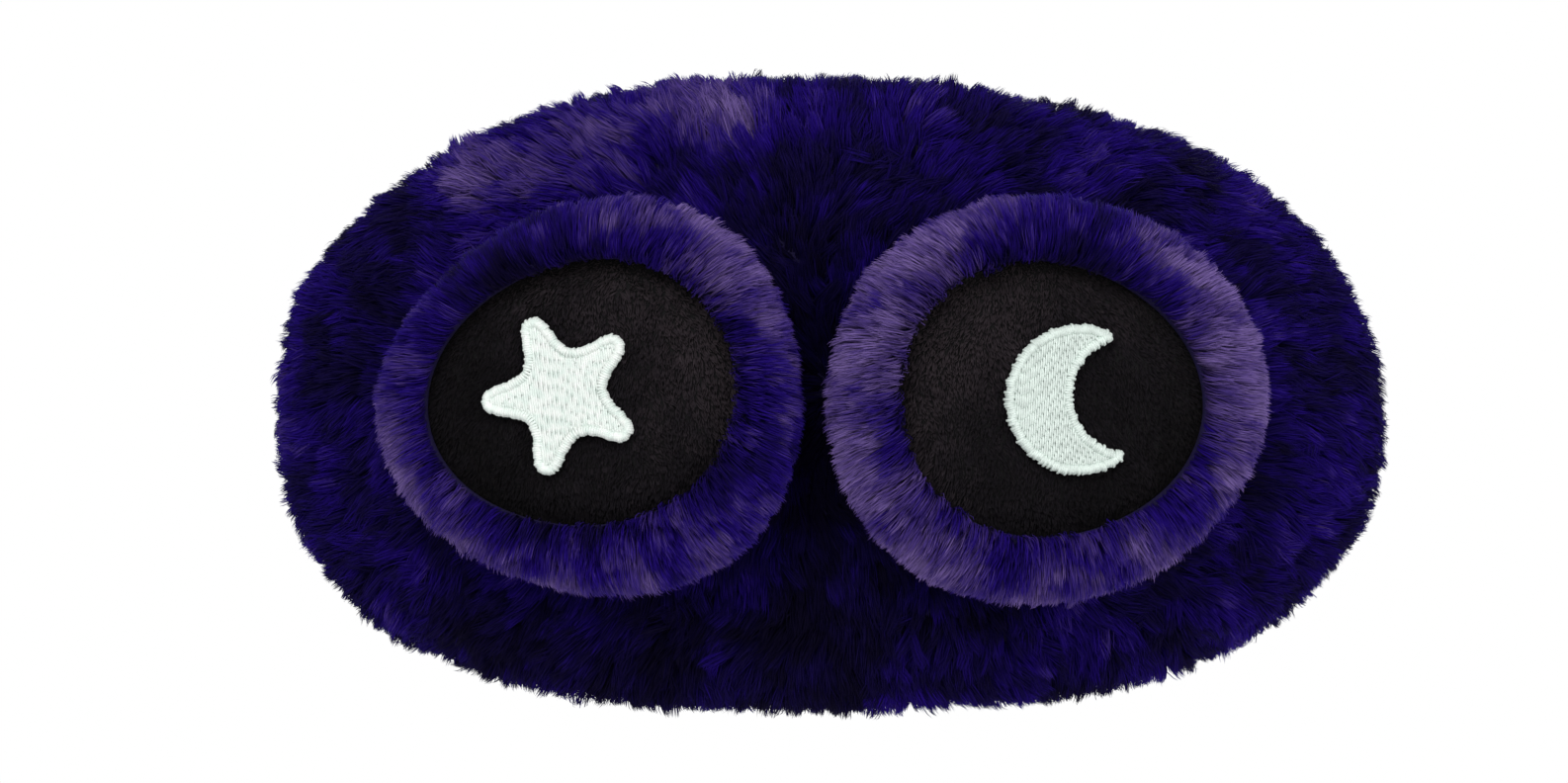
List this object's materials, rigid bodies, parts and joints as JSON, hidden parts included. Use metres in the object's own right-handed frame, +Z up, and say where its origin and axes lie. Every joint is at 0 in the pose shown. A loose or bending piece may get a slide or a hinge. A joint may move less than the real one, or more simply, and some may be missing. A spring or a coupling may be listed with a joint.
{
  "type": "plush sleep mask",
  "caption": "Soft oval sleep mask that covers both eyes, with long-pile fur, two raised fur-ringed eye pads bearing a star and a crescent, and an adjustable elastic strap.",
  "frame": {"origin": "middle of the lining's back surface, where the mask meets the face", "axes": "+X to the right seen from the front, +Y from the mask towards the wearer's head, +Z up; the furry front faces -Y"},
  "size_m": [0.214, 0.197, 0.122],
  "materials": {
    "indigo_fur": "long silky pile",
    "violet_fur": "shorter silky pile",
    "black_plush": "short velvety pile",
    "mint_thread": "satin stitched thread",
    "indigo_felt": "pressed felt",
    "white_wadding": "loose polyester wadding",
    "blackout_cloth": "coated dense cloth",
    "black_lining": "brushed soft knit",
    "black_elastic": "ribbed woven elastic",
    "black_plastic": "moulded, satin gloss"
  },
  "bodies": {
    "mask": {"front_fur_panel": "indigo_fur", "body_wadding": "white_wadding", "blackout_interlining": "blackout_cloth", "face_lining": "black_lining", "left_pad_felt": "indigo_felt", "left_pad_fur": "violet_fur", "left_pad_filling": "white_wadding", "left_eye_disc": "black_plush", "star_fill": "mint_thread", "star_border": "mint_thread", "right_pad_felt": "indigo_felt", "right_pad_fur": "violet_fur", "right_pad_filling": "white_wadding", "right_eye_disc": "black_plush", "moon_fill": "mint_thread", "moon_border": "mint_thread", "left_strap": "black_elastic", "strap_ring": "black_plastic", "right_strap": "black_elastic", "strap_return": "black_elastic"},
    "slider": {"strap_slider": "black_plastic", "slider_fold": "black_elastic"}
  },
  "joints": [
    {"name": "slider_travel", "type": "slide", "parent": "mask", "child": "slider", "axis": [-0.2079, 0.9781, 0], "range_m": [-0.014, 0.012], "deforming": ["strap_return"]}
  ]
}
